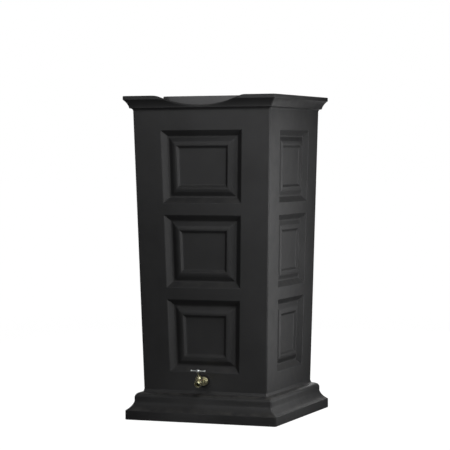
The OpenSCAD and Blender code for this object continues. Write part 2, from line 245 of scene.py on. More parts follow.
# Outlines of (half width, height), from the foot up.
BAND_HW = PLINTH_HW - 26.5            # round band at the top of the plinth
BAND_R = 18
BAND_Z = 83
CROWN_HW = RIM_HW - 18                # foot of the cornice's cove
COVE_R = 60
PLINTH_COVE = (PLINTH_HW + 30.8, 86.9)
CROWN_COVE = (RIM_HW + 39.8, RIM_Z - 58.9)
SPRING_Z = PLINTH_Z + 20              # the body is plain above this
SOFFIT_Z = NECK_Z - 8                 # and up to this
OUTSIDE = rounded(
    [(PLINTH_HW - 12, 0), (PLINTH_HW, 0, 3), (PLINTH_HW, 34.4, 3.5)]
    + arc(*PLINTH_COVE, COVE_R, 238, 197.3, 9)
    + arc(BAND_HW - BAND_R, BAND_Z, BAND_R, 0, 76, 7)
    + [(FOOT_HW + 3.6, 102.6, 4), (FOOT_HW, PLINTH_Z + 4, 5), (body_hw(SPRING_Z), SPRING_Z)], 3)[:-1]
CORNICE = rounded(
    [(body_hw(SOFFIT_Z), SOFFIT_Z), (NECK_HW, NECK_Z, 6)]
    + arc(NECK_HW + 9, NECK_Z + 1, 8.6, 172, 100, 5)
    + [(CROWN_HW - 1.5, RIM_Z - 46.2, 1.2), (CROWN_HW + 0.2, RIM_Z - 44.4, 1.5)]
    + arc(*CROWN_COVE, COVE_R, 164.4, 132.9, 9)
    + [(RIM_HW, RIM_Z - 14.2, 1.6), (RIM_HW, RIM_Z)], 2)
BASIN = rounded([
    (FLOOR_HW - 3.2, FLOOR_Z), (FLOOR_HW - 0.5, FLOOR_Z, 2.5), (WAIST_HW, NECK_Z, 60),
    (MOUTH_HW, RIM_Z)], 5)
CORNICE_BACK = [
    (NECK_HW - WALL, SOFFIT_Z), (NECK_HW - WALL, NECK_Z), (CROWN_HW - 7, RIM_Z - 41),
    (CROWN_HW - WALL, RIM_Z - 34), (RIM_HW - 8, RIM_Z - 11.5), (RIM_HW - WALL, RIM_Z - 10),
    (RIM_HW - WALL, RIM_Z - 8)]
PLINTH_BACK = (                       # the tank's inner skin, from the body down
    [(FOOT_HW - WALL, PLINTH_Z), (FOOT_HW - 2.5, 101)]
    + arc(BAND_HW - BAND_R, BAND_Z, BAND_R - WALL, 80, 0, 4)
    + arc(*PLINTH_COVE, COVE_R + WALL, 197.3, 236, 5)
    + [(PLINTH_HW - WALL, 31), (PLINTH_HW - WALL, 8), (PLINTH_HW - 8, WALL)])
LIP_STEPS = 4                         # over each rounded edge of the rim


def panel_depth(x, z):
    """Depth of the panel moulding at a point on a side. The frame's corners are mitred."""
    for i in range(PANEL_COUNT):
        foot = PANEL_Z + PANEL_PITCH * i
        inset = min(body_hw(z) - PANEL_MARGIN - abs(x), z - foot, foot + PANEL_H - z)
        if inset > SECTION_STEPS[0]:
            for (s0, d0), (s1, d1) in zip(SECTION, SECTION[1:]):
                if inset <= s1:
                    return d0 + (d1 - d0) * (inset - s0) / (s1 - s0)
            return SECTION[-1][1]
    return 0


def panel_rows():
    """Heights of the rings over the body: the frame steps of every panel, and the middle of each."""
    rows = [PLINTH_Z + 11]
    for i in range(PANEL_COUNT):
        foot, head = PANEL_Z + PANEL_PITCH * i, PANEL_Z + PANEL_PITCH * i + PANEL_H
        rows += [foot + s for s in SECTION_STEPS]
        low, high = rows[-1], head - SECTION_STEPS[-1]
        rows += [low + (high - low) * k / 4 for k in (1, 2, 3)]
        rows += [head - s for s in reversed(SECTION_STEPS)]
    return rows


def side_columns(hw, r, z):
    """x of every column on one side of a ring, from its left corner arc to its right one."""
    edge = body_hw(z) - PANEL_MARGIN
    frame_x = [edge - s for s in SECTION_STEPS]
    reach = hw - r - frame_x[0]
    half = [frame_x[0] + reach * f for f in reversed(MARGIN_STEPS)] + frame_x
    return [-x for x in half] + [frame_x[-1] * f for f in MIDDLE_STEPS] + half[::-1]


def ring(hw, z, r, shape=None):
    """One ring of points. shape(side, x) may give its own (half width, z) for a point."""
    points = []
    for side in range(4):
        turn = Matrix.Rotation(math.pi / 2 * side, 3, "Z")
        for x in side_columns(hw, r, z):
            y, height = shape(side, x) if shape else (hw, z)
            points.append(turn @ Vector((x, -y, height)))
        for i in range(1, CORNER_N):
            a = math.pi / 2 * (i / CORNER_N - 1)
            points.append(turn @ Vector((hw - r + r * math.cos(a), r - hw + r * math.sin(a), z)))
    return points


def rim_edge(side, x):
    """Top of the rim at x and the radius of its edges, which grows in the dip."""
    top = dip_z(x) if side == 0 else RIM_Z
    return top, RIM_EDGE_R + DIP_EDGE_MORE * (RIM_Z - top) / DIP_D


def wall_shape(outline, z):
    """A ring on an outline that stays below the rim's edge where the dip lowers it."""
    def shape(side, x):
        top, edge = rim_edge(side, x)
        height = min(z, top - edge)
        return along(outline, height), height
    return shape


def lip_shape(t, inner):
    """A step of the rounded edge between the cornice and the rim, or between the rim and the basin."""
    def shape(side, x):
        top, edge = rim_edge(side, x)
        wall = BASIN if inner else CORNICE
        low = Vector((along(wall, top - edge), top - edge))
        level = Vector((along(wall, top) + (edge if inner else -edge), top))
        corner = Vector((along(wall, top), top))
        return tuple(low * (1 - t) ** 2 + corner * 2 * t * (1 - t) + level * t * t)
    return shape


def shell_rings():
    """Every ring of the outside, from the foot up, over the rim and down into the basin."""
    rings = [ring(hw, z, CORNER_R) for hw, z in OUTSIDE]
    for z in panel_rows():
        def shape(side, x, z=z):
            return body_hw(z) - panel_depth(x, z), z
        rings.append(ring(body_hw(z), z, CORNER_R, shape))
    for hw, z in CORNICE[:-1]:
        rings.append(ring(hw, z, CORNER_R, wall_shape(CORNICE, z)))
    lip = [k / LIP_STEPS for k in range(LIP_STEPS + 1)]
    for inner, corner_r, steps in ((False, CORNER_R, lip), (True, BASIN_R, lip[::-1])):
        for t in steps:
            shape = lip_shape(t, inner)
            hw, z = shape(1, 0)
            rings.append(ring(hw, z, corner_r, shape))
    for hw, z in reversed(BASIN[:-1]):
        rings.append(ring(hw, z, BASIN_R, wall_shape(BASIN, z)))
    return rings


def is_mitre(ring_z, next_z, x, next_x):
    """True for a cell of the grid that a panel's mitre crosses."""
    def inset(z, x):
        for i in range(PANEL_COUNT):
            foot = PANEL_Z + PANEL_PITCH * i
            if foot + SECTION_STEPS[0] - 1 < z < foot + PANEL_H - SECTION_STEPS[0] + 1:
                return min(z - foot, foot + PANEL_H - z), body_hw(z) - PANEL_MARGIN - abs(x)
        return -50, 0
    a, b = inset(ring_z, x), inset(next_z, next_x)
    return abs(a[0] - a[1]) < 0.01 and abs(b[0] - b[1]) < 0.01


def back_rings():
    """Every ring of the inside, from under the basin, up behind its wall and down to the tank's floor."""
    under_rim = 8

    def behind(outline, z, out):
        def shape(side, x):
            height = min(z, rim_edge(side, x)[0] - under_rim)
            return along(outline, height) + out, height
        return shape

    rings = [ring(FLOOR_HW + 2, FLOOR_Z - WALL, BASIN_R)]
    for z in (FLOOR_Z - 2, FLOOR_Z + 10, NECK_Z - 30, NECK_Z, RIM_Z - 38, RIM_Z - 20, RIM_Z - under_rim):
        rings.append(ring(along(BASIN, z) + WALL, z, BASIN_R + WALL, behind(BASIN, z, WALL)))
    for hw, z in reversed(CORNICE_BACK):
        rings.append(ring(hw, z, INSIDE_R, behind(CORNICE_BACK, z, 0)))
    for z in reversed(panel_rows()):
        def shape(side, x, z=z):
            return body_hw(z) - WALL - panel_depth(x, z), z
        rings.append(ring(body_hw(z) - WALL, z, INSIDE_R, shape))
    rings += [ring(hw, z, INSIDE_R) for hw, z in PLINTH_BACK]
    return rings


def grid(bm, rings, pad_row, pad_cols):
    """Faces between rings, apart from the patch where the tap's pad goes."""
    n = len(rings[0])
    columns = len(side_columns(RIM_HW, CORNER_R, 0))
    for i in range(len(rings) - 1):
        low, high = rings[i], rings[i + 1]
        for c in range(n):
            d = (c + 1) % n
            if i == pad_row and pad_cols[0] <= c < pad_cols[1]:
                continue
            quad = (low[c], low[d], high[d], high[c])
            side, col = divmod(c, columns + CORNER_N - 1)
            if col < columns - 1:
                back = Matrix.Rotation(-math.pi / 2 * side, 3, "Z")
                p = [back @ v.co for v in quad]
                if is_mitre(p[0].z, p[2].z, p[0].x, p[2].x):
                    bm.faces.new((quad[0], quad[1], quad[2]))
                    bm.faces.new((quad[0], quad[2], quad[3]))
                    continue
                if is_mitre(p[1].z, p[3].z, p[1].x, p[3].x):
                    bm.faces.new((quad[0], quad[1], quad[3]))
                    bm.faces.new((quad[1], quad[2], quad[3]))
                    continue
            bm.faces.new(quad)


def tap_pad(bm, low, high, cols, wall_t, face_y):
    """Fills the patch with the round pad that the tap clamps to. Returns the loop round its hole."""
    outline = low[cols[0]:cols[1] + 1] + high[cols[0]:cols[1] + 1][::-1]

    def loop(r, proud):
        out = []
        for p in circle(Vector((TAP_X, 0, TAP_Z)), r, PAD_N, X, Z):
            wall = wall_t - body_hw(p.z)
            p.y = wall + (face_y - wall) * proud
            out.append(p)
        return verts_of(bm, out)

    loops = [loop(PAD_R - inset, proud) for inset, proud in PAD_EDGE] + [loop(TAP_HOLE_R, 1)]
    fill(bm, outline, loops[0])
    for a, b in zip(loops, loops[1:]):
        stitch(bm, a, b)
    return loops[-1]


def inlet_seat(bm, edge, seat):
    """A flat floor inside edge, and loops of (radius, height) round the inlet. Returns the last loop."""
    loops = []
    for r, z in seat:
        loops.append(verts_of(bm, circle(Vector((INLET.x, INLET.y, z)), r, ROUND_N)))
    fill(bm, edge, loops[0])
    for a, b in zip(loops, loops[1:]):
        stitch(bm, a, b)
    return loops[-1]


def shell_mesh():
    """The tank's skins, joined at the inlet and at the tap's hole."""
    bm = bmesh.new()
    middle = len(side_columns(RIM_HW, CORNER_R, 0)) // 2
    cols = (middle - 2, middle + 2)

    front = [verts_of(bm, points) for points in shell_rings()]
    row = len(OUTSIDE)
    grid(bm, front, row, cols)
    bm.faces.new(front[0])
    hole = tap_pad(bm, front[row], front[row + 1], cols, 0, PAD_Y)
    sump_z = FLOOR_Z - SUMP_D
    inlet = inlet_seat(bm, front[-1], rounded([
        (SUMP_R + 8, FLOOR_Z), (SUMP_R, FLOOR_Z, 1.5), (SUMP_R - 0.5, sump_z, 1.5),
        (INLET_R, sump_z, 1.5), (INLET_R, sump_z - WALL)], 3)[1:])

    back = [verts_of(bm, points) for points in back_rings()]
    row = len(back) - len(PLINTH_BACK) - 2
    grid(bm, back, row, cols)
    bm.faces.new(back[-1])
    stitch(bm, hole, tap_pad(bm, back[row + 1], back[row], cols, WALL, PAD_Y + PAD_T))
    stitch(bm, inlet, inlet_seat(bm, back[0], [
        (SUMP_R + WALL, FLOOR_Z - WALL), (SUMP_R + WALL, sump_z - WALL),
        (INLET_R + 0.3, sump_z - WALL)]))
    return bm


# ---- Turned, hexagonal and threaded shapes ----

def lathe(bm, outline, place, n=72, closed=False):
    """Turns an outline about the place's own Z.

    Its points are (radius, height), or (radius, height, width across flats) where a hexagon cuts the
    round. A closed outline makes a ring.
    """
    loops = []
    for r, z, *flats in outline:
        if r == 0:
            loops.append(verts_of(bm, [place @ Vector((0, 0, z))]))
            continue
        loop = []
        for i in range(n):
            a = 2 * math.pi * i / n
            reach = r
            if flats:
                reach = min(r, flats[0] / 2 / math.cos(a % (math.pi / 3) - math.pi / 6))
            loop.append(place @ Vector((reach * math.cos(a), reach * math.sin(a), z)))
        loops.append(verts_of(bm, loop))
    pairs = list(zip(loops, loops[1:])) + ([(loops[-1], loops[0])] if closed else [])
    for a, b in pairs:
        if len(a) == len(b):
            stitch(bm, a, b)
            continue
        tip, rim = (a[0], b) if len(a) == 1 else (b[0], a)
        for i in range(n):
            bm.faces.new((rim[i], rim[(i + 1) % n], tip))


def hex_steps(flats, z0, z1):
    """The outline of a hexagon with turned chamfers at both ends, from z0 to z1."""
    corner, start, slope = flats / 2 / math.cos(math.pi / 6), flats / 2 - 0.25, 0.5
    steps = [(start + (corner - start) * k / 4, (corner - start) * slope * k / 4) for k in range(5)]
    low = [(r, z0 + rise, flats) for r, rise in steps]
    return low + [(r, z1 - rise, flats) for r, rise in reversed(steps)]


THREAD_DEPTH = 1.15
THREAD_ROWS = 10                      # rows of points in each turn
ROOT_FLAT = 0.18                      # shares of half a turn that are the flat root and one flank
FLANK = 0.56
RUN_OUT = 0.8                         # turns over which the thread fades at its mouth
MOUTH_CHAMFER = 0.7
END_CHAMFER = 0.6


def thread(bm, place, start, end, crest, pitch, bore, n=72):
    """A tube with a screw thread outside, fading at both ends, and a chamfered mouth."""
    root = crest - THREAD_DEPTH
    rows = round((end - start) / (pitch / THREAD_ROWS))
    outline = []
    for k in range(rows + 1):
        s = start + (end - start) * k / rows
        fade = min(1, (end - s) / (RUN_OUT * pitch), (s - start) / pitch)
        loop = []
        for i in range(n):
            a = 2 * math.pi * i / n
            phase = (s / pitch - a / (2 * math.pi)) % 1
            height = min(1, max(0, (1 - abs(2 * phase - 1) - ROOT_FLAT) / FLANK))
            r = root + (crest - root) * height * max(0, fade)
            loop.append(place @ Vector((r * math.cos(a), r * math.sin(a), s)))
        outline.append(verts_of(bm, loop))
    mouth = [(root - END_CHAMFER, end), (bore + MOUTH_CHAMFER, end), (bore, end - MOUTH_CHAMFER)]
    for r, s in mouth + [(bore, start)]:
        outline.append(verts_of(bm, [place @ p for p in circle(Vector((0, 0, s)), r, n)]))
    for a, b in zip(outline, outline[1:] + outline[:1]):
        stitch(bm, a, b)


def box_bar(bm, low, high, place, edge=0.5):
    """A bar with rounded edges."""
    made = bmesh.ops.create_cube(bm, size=1)["verts"]
    size, centre = high - low, (low + high) / 2
    for v in made:
        v.co = Vector([c * s for c, s in zip(v.co, size)]) + centre
    edges = list({e for v in made for e in v.link_edges})
    rounded_off = bmesh.ops.bevel(bm, geom=edges, offset=edge, segments=2, profile=0.5, affect="EDGES")
    verts = {v for f in rounded_off["faces"] for v in f.verts} | {v for v in made if v.is_valid}
    bmesh.ops.transform(bm, matrix=place, verts=list(verts))


def baked(obj):
    """Applies an object's modifiers."""
    bpy.context.view_layer.update()
    evaluated = obj.evaluated_get(bpy.context.evaluated_depsgraph_get())
    mesh = bpy.data.meshes.new_from_object(evaluated)
    obj.modifiers.clear()
    obj.data = mesh
    return obj


def cast(obj, voxel, passes):
    """Runs an object's overlapping shells together into one skin with softened joints, as a casting has."""
    skin = obj.modifiers.new("cast skin", "REMESH")
    skin.mode = "VOXEL"
    skin.voxel_size = voxel * MM
    soften = obj.modifiers.new("fillets", "SMOOTH")
    soften.factor = 0.5
    soften.iterations = passes
    return baked(obj)


def cut(obj, cutter_mesh):
    """Cuts the shells of a mesh out of an object."""
    cutter = new_object("cutter", cutter_mesh)
    machining = obj.modifiers.new("machining", "BOOLEAN")
    machining.operation = "DIFFERENCE"
    machining.solver = "EXACT"
    machining.object = cutter
    baked(obj)
    bpy.data.objects.remove(cutter)
    return obj


# ---- Planter ----

PLANTER_TOP = planter_high.z
PLANTER_FOOT = planter_low.z + 10     # the floor stands this high on four feet
PLANTER_DRAFT = 7
PLANTER_T = 3.5
PLANTER_R = 45
PLANTER_MID = (planter_low + planter_high) / 2
DRAINS = [(x, y) for x in (-70, 0, 70) for y in (-60, 60)]
DRAIN_R = 6.4
DRAIN_N = 28
FEET = [(x, y) for x in (-120, 120) for y in (-115, 115)]
FEET_R = 14
FEET_N = 40
FEET_TAPER = ((13.2, 1.2), (12.4, 0.3), (11.4, 0))      # (radius, height over the sole)


def planter_loop(z, inset, corner_n=12, side_n=8):
    """A rounded rectangle that leans in towards the foot, moved in by inset."""
    lean = PLANTER_DRAFT * (PLANTER_TOP - z) / (PLANTER_TOP - PLANTER_FOOT) + inset
    hx = (planter_high.x - planter_low.x) / 2 - lean
    hy = (planter_high.y - planter_low.y) / 2 - lean
    r = PLANTER_R - inset
    corners = [(hx, hy, 0), (-hx, hy, 90), (-hx, -hy, 180), (hx, -hy, 270)]
    points = []
    for k, (x, y, start) in enumerate(corners):
        cx, cy = math.copysign(abs(x) - r, x), math.copysign(abs(y) - r, y)
        points += arc(cx, cy, r, start, start + 90, corner_n)
        after = corners[(k + 1) % 4]
        bx, by = math.copysign(abs(after[0]) - r, after[0]), math.copysign(abs(after[1]) - r, after[1])
        a = math.radians(start + 90)
        begin = Vector(points[-1])
        end = Vector((bx + r * math.cos(a), by + r * math.sin(a)))
        points += [tuple(begin.lerp(end, i / side_n)) for i in range(1, side_n)]
    return [Vector((x, PLANTER_MID.y + y, z)) for x, y in points]


def planter_mesh():
    bm = bmesh.new()
    top = PLANTER_TOP
    under, inside = PLANTER_FOOT, PLANTER_FOOT + PLANTER_T
    section = rounded([               # (inset, height) from the floor up, over the brim and down inside
        (6, under), (0, under, 4), (0, top, 1.6), (7.6, top, 1.8), (7.6, top - 9, 1.6),
        (PLANTER_T, top - 12.5, 3), (PLANTER_T, inside, 5), (10, inside)], 4)[1:-1]
    walls = [verts_of(bm, planter_loop(z, inset)) for inset, z in section]
    for a, b in zip(walls, walls[1:]):
        stitch(bm, a, b)

    def at(spots, r, z, n):
        return [verts_of(bm, circle(Vector((x, PLANTER_MID.y + y, z)), r, n)) for x, y in spots]

    foot_roots = at(FEET, FEET_R, under, FEET_N)
    low_holes, high_holes = at(DRAINS, DRAIN_R, under, DRAIN_N), at(DRAINS, DRAIN_R, inside, DRAIN_N)
    fill(bm, walls[0], *foot_roots, *low_holes)
    fill(bm, walls[-1], *high_holes)
    for low, high in zip(low_holes, high_holes):
        stitch(bm, low, high)
    taper = [at(FEET, r, planter_low.z + up, FEET_N) for r, up in FEET_TAPER]
    for loops in zip(foot_roots, *taper):
        for a, b in zip(loops, loops[1:]):
            stitch(bm, a, b)
        bm.faces.new(loops[-1])
    return bm


# ---- Debris screen ----

SEAT_Z = FLOOR_Z - SUMP_D
SKIRT_R = INLET_R - 0.5
SKIRT_T = 3
LEDGE_W = 5
FLANGE_R = SUMP_R - 1.5
LEDGE_Z = mesh_low.z                  # top of the ledge that the mesh lies on
WIRE_R = 0.21
WIRE_PITCH = 2.6
BAR_HW = 1.5                          # bars under the mesh
LUG_HW = 9                            # finger lugs


def basket_mesh():
    """The screen's rim and skirt, the bars under its mesh, and two finger lugs."""
    bm = bmesh.new()
    place = Matrix.Translation((INLET.x, INLET.y, 0))
    inner, foot, seat = SKIRT_R - SKIRT_T, basket_low.z, SEAT_Z
    lathe(bm, rounded([
        (inner - LEDGE_W + 1, foot), (SKIRT_R, foot, 0.8), (SKIRT_R, seat, 0.6), (FLANGE_R, seat, 0.8),
        (FLANGE_R, seat + 4, 1.6), (inner + 0.2, seat + 4, 1.8), (inner, LEDGE_Z, 0.5),
        (inner - LEDGE_W, LEDGE_Z, 0.7), (inner - LEDGE_W, foot, 0.7), (inner - LEDGE_W + 1, foot),
    ], 3)[:-1], place, ROUND_N, closed=True)
    for angle in (0, 60, 120):
        turn = place @ Matrix.Rotation(math.radians(angle), 4, "Z")
        box_bar(bm, Vector((-inner, -BAR_HW, foot)), Vector((inner, BAR_HW, LEDGE_Z - 0.1)), turn, 0.6)
    for angle in (0, 180):
        turn = place @ Matrix.Rotation(math.radians(angle), 4, "Z")
        box_bar(bm, Vector((SKIRT_R + 3, -LUG_HW, seat + 3)), Vector((SKIRT_R + 6, LUG_HW, seat + 16)),
                turn, 1.2)
        box_bar(bm, Vector((SKIRT_R + 4.5, -LUG_HW - 1, seat + 14)),
                Vector((SKIRT_R + 7.5, LUG_HW + 1, seat + 15.9)), turn, 0.8)
    return bm


def woven_mesh():
    """Crossing wires, each over one and under the next."""
    bm = bmesh.new()
    radius = SKIRT_R - SKIRT_T - 0.5
    height = (mesh_low.z + mesh_high.z) / 2
    count = int(radius / WIRE_PITCH)
    for turned in (False, True):
        for k in range(-count, count + 1):
            offset = k * WIRE_PITCH
            half = math.sqrt(radius ** 2 - offset ** 2)
            if half < WIRE_PITCH:
                continue
            steps = max(4, round(2 * half / (WIRE_PITCH / 4)))
            sign = 1 if (k % 2 == 0) != turned else -1
            loops = []
            for i in range(steps + 1):
                u = -half + 2 * half * i / steps
                z = height + sign * WIRE_R * math.cos(math.pi * u / WIRE_PITCH)
                centre = Vector((offset, u, z)) if turned else Vector((u, offset, z))
                centre += Vector((INLET.x, INLET.y, 0))
                across = X if turned else Y
                loops.append(verts_of(bm, circle(centre, WIRE_R, 5, across, Z)))
            for a, b in zip(loops, loops[1:]):
                stitch(bm, a, b)
            bm.faces.new(loops[0])
            bm.faces.new(loops[-1])
    return bm


def mesh_ring_mesh():
    """The ring that holds the mesh down."""
    bm = bmesh.new()
    outer, low = SKIRT_R - SKIRT_T - 0.1, mesh_high.z
    lathe(bm, rounded([
        (outer - 2, low), (outer, low, 0.4), (outer, low + 4, 0.9),
        (outer - LEDGE_W + 0.2, low + 3.4, 1.2), (outer - LEDGE_W + 0.1, low, 0.4), (outer - 2, low),
    ], 3)[:-1], Matrix.Translation((INLET.x, INLET.y, 0)), ROUND_N, closed=True)
    return bm


# ---- Tap ----

def frame_on(origin, axis):
    """A frame whose Z is the axis and whose X stays level."""
    z = Vector(axis).normalized()
    y = z.cross(X)
    turn = Matrix((X, y, z)).transposed().to_4x4()
    return Matrix.Translation(origin) @ turn


hinge = joints["handle_turn"]
SPINDLE = frame_on(Vector(hinge["pos_m"]) / MM, hinge["axis"])
WALL_FACE = frame_on((TAP_X, PAD_Y, TAP_Z), (0, -1, 0))
outlet = mounts["hose_outlet"]
THREAD_L = outlet["dims"]["length_mm"]
OUTLET_L = 25.5
OUTLET = frame_on(
    Vector(outlet["pos_m"]) / MM - (OUTLET_L - THREAD_L / 2) * Vector(outlet["axis"]), outlet["axis"])
HOSE_R = outlet["dims"]["r_mm"]
HOSE_PITCH = 2.21

SHANK_R = 13
SHANK_PITCH = 1.81
SHANK_L = 30
SHANK_BORE_R = 8
PASSAGE_N = 16                        # root of the sloping passage to the seat
PASSAGE_TILT = math.radians(15)
PASSAGE_R = 4.8
SEAT_R = 5.5
BONNET_BORE_R = 11.05                 # where the bonnet screws into the body

# Heights and radii along the spindle, from the seat up.
BODY_TOP = 11
BONNET_Z = 12
COLLAR_TOP = 24
STEM_BORE_R = 3.6
PACKING_R = 6.05
HUB_Z = 42
HUB_H = 9.5
BAR_Z = HUB_Z + 5.5
HANDLE_L = 60
KNOB_R = 3.6
DOME_H = 2.2                          # screw head
SLOT_HW = 0.5
WASHER_R = 23.8
WASHER_BORE_R = 13.05
WASHER_T = 3


def casting_mesh():
    bm = bmesh.new()
    lathe(bm, [(0, -28), (12.2, -28), (12.2, 4), (0, 4)], WALL_FACE)
    lathe(bm, [(0, 3), (16.4, 3), (16.8, 3.4), (16.8, 5), (16.3, 5.5), (0, 5.5)], WALL_FACE)
    lathe(bm, [(0, 5)] + hex_steps(29, 5, 14.2) + [(0, 14.2)], WALL_FACE)
    lathe(bm, [(0, 13), (12.6, 13), (12.1, 15.5), (11.3, 18), (11, 23), (11.4, 30), (12.4, 36),
               (0, 36)], WALL_FACE)
    ball = arc(0, -2, 14, -90, -6, 14)    # round foot of the chamber
    top = BODY_TOP + 0.6
    lathe(bm, [(0, -16)] + ball[1:] + [
        (13.5, 0.5), (13.4, 7), (14, 7.8), (14, 10.5), (13.6, top), (0, top)], SPINDLE)
    collar = OUTLET_L - THREAD_L
    lathe(bm, [(0, 2), (10.6, 2), (10.6, collar - 4), (11.6, collar - 2.6), (14.6, collar - 2.5),
               (15, collar - 2.1), (15, collar - 0.4), (14.6, collar), (0, collar)], OUTLET)
    return bm


def casting_cutters():
    """What is cut out of the casting, from the bonnet's flat face down to the passage to the seat."""
    slope = (0, -math.cos(PASSAGE_TILT), -math.sin(PASSAGE_TILT))
    passage = frame_on((TAP_X, PAD_Y - PASSAGE_N, TAP_Z), slope)
    bonnet_face = [(0, BODY_TOP), (16.5, BODY_TOP), (16.5, BODY_TOP + 9), (0, BODY_TOP + 9)]
    outlet_bore = [(0, 4), (4, 4.6), (7.9, 8), (7.9, OUTLET_L + 4), (0, OUTLET_L + 4)]
    chamber = [(0, -9), (SEAT_R, -9), (SEAT_R, 0), (10, 0), (10, 3), (BONNET_BORE_R, 3.05),
               (BONNET_BORE_R, BODY_TOP + 1), (0, BODY_TOP + 1)]
    shank_bore = [(0, -32), (SHANK_BORE_R, -32), (SHANK_BORE_R, PASSAGE_N + 3), (0, PASSAGE_N + 3)]
    passage_bore = [(0, 0), (PASSAGE_R, 0), (PASSAGE_R, 29), (0, 29)]
    for outline, place in ((bonnet_face, SPINDLE), (outlet_bore, OUTLET), (chamber, SPINDLE),
                           (shank_bore, WALL_FACE), (passage_bore, passage)):
        bm = bmesh.new()
        lathe(bm, outline, place, 64)
        yield bm


def handle_mesh():
    bm = bmesh.new()
    lathe(bm, [(0, HUB_Z), (5.0, HUB_Z), (5.3, HUB_Z + 0.5), (5.9, HUB_Z + 3), (6, HUB_Z + 5.5),
               (5.8, HUB_Z + 7.6), (5.2, HUB_Z + 9), (4.4, HUB_Z + HUB_H), (0, HUB_Z + HUB_H)], SPINDLE)
    bar = SPINDLE @ Matrix.Translation((0, 0, BAR_Z)) @ Matrix.Rotation(math.pi / 2, 4, "Y")
    half = HANDLE_L / 2
    knob = [(KNOB_R * math.cos(math.radians(a)), half - KNOB_R + KNOB_R * math.sin(math.radians(a)))
            for a in (-48, -30, -12, 6, 24, 42, 60, 76)]
    side = [(2.9, 0), (2.7, 7), (2.3, 11), (2.15, 18), (2.3, half - 7)] + knob + [(0, half)]
    lathe(bm, [(r, -x) for r, x in reversed(side[1:])] + side, bar, 48)
    return bm


def screw_mesh():
    """A domed screw head and its shank."""
    bm = bmesh.new()
    foot = HUB_Z + HUB_H
    stem = [(0, foot - 6), (1.4, foot - 6), (1.5, foot - 5.6), (1.5, foot)]
    dome = [(3.6, foot), (3.8, foot + 0.5, 0.4), (3.1, foot + 1.7, 1.4), (1.5, foot + 2.15, 1),
            (0, foot + DOME_H)]
    lathe(bm, stem + rounded(dome, 3), SPINDLE, 40)
    return bm


def screw_slot():
    bm = bmesh.new()
    top = HUB_Z + HUB_H + DOME_H
    turn = SPINDLE @ Matrix.Rotation(math.radians(25), 4, "Z")
    box_bar(bm, Vector((-5, -SLOT_HW, top - 1.1)), Vector((5, SLOT_HW, top + 2)), turn, 0.06)
    return bm


def bonnet_mesh():
    bm = bmesh.new()
    neck = [(8.6, 6.5), (10.4, 6.5), (10.9, 7), (10.9, BONNET_Z)]
    collar = [(9.1, BONNET_Z + 9), (8.6, BONNET_Z + 9.5), (8.4, COLLAR_TOP - 0.6), (7.8, COLLAR_TOP),
              (6.4, COLLAR_TOP)]
    bore = [(PACKING_R, COLLAR_TOP - 0.4), (PACKING_R, 18.2), (STEM_BORE_R, 18.2), (STEM_BORE_R, 17),
            (PACKING_R, 17), (PACKING_R, 9.2), (8.6, 9.2)]
    lathe(bm, neck + hex_steps(25, BONNET_Z, BONNET_Z + 9) + collar + bore, SPINDLE, closed=True)
    return bm


def gland_mesh():
    bm = bmesh.new()
    base = COLLAR_TOP + 0.2
    lathe(bm, [(STEM_BORE_R, 22), (5.9, 22), (5.9, base)] + hex_steps(14, base, base + 4) + [
        (4.6, base + 4), (3.9, base + 3.9), (STEM_BORE_R, base + 3.5)], SPINDLE, closed=True)
    return bm


def washer_mesh():
    """The rubber washer between the tap and the wall, a little squeezed out at its edge."""
    bm = bmesh.new()
    squeezed = WASHER_R + 0.1
    lathe(bm, rounded([
        (WASHER_BORE_R + 1, 0), (WASHER_R, 0, 0.7), (squeezed, WASHER_T / 2, 1.5),
        (WASHER_R, WASHER_T, 0.7), (WASHER_BORE_R, WASHER_T, 0.4), (WASHER_BORE_R, 0, 0.4),
        (WASHER_BORE_R + 1, 0)], 3)[:-1], WALL_FACE, closed=True)
    return bm


def thread_mesh(*sizes):
    bm = bmesh.new()
    thread(bm, *sizes)
    return bm


# ---- Materials ----

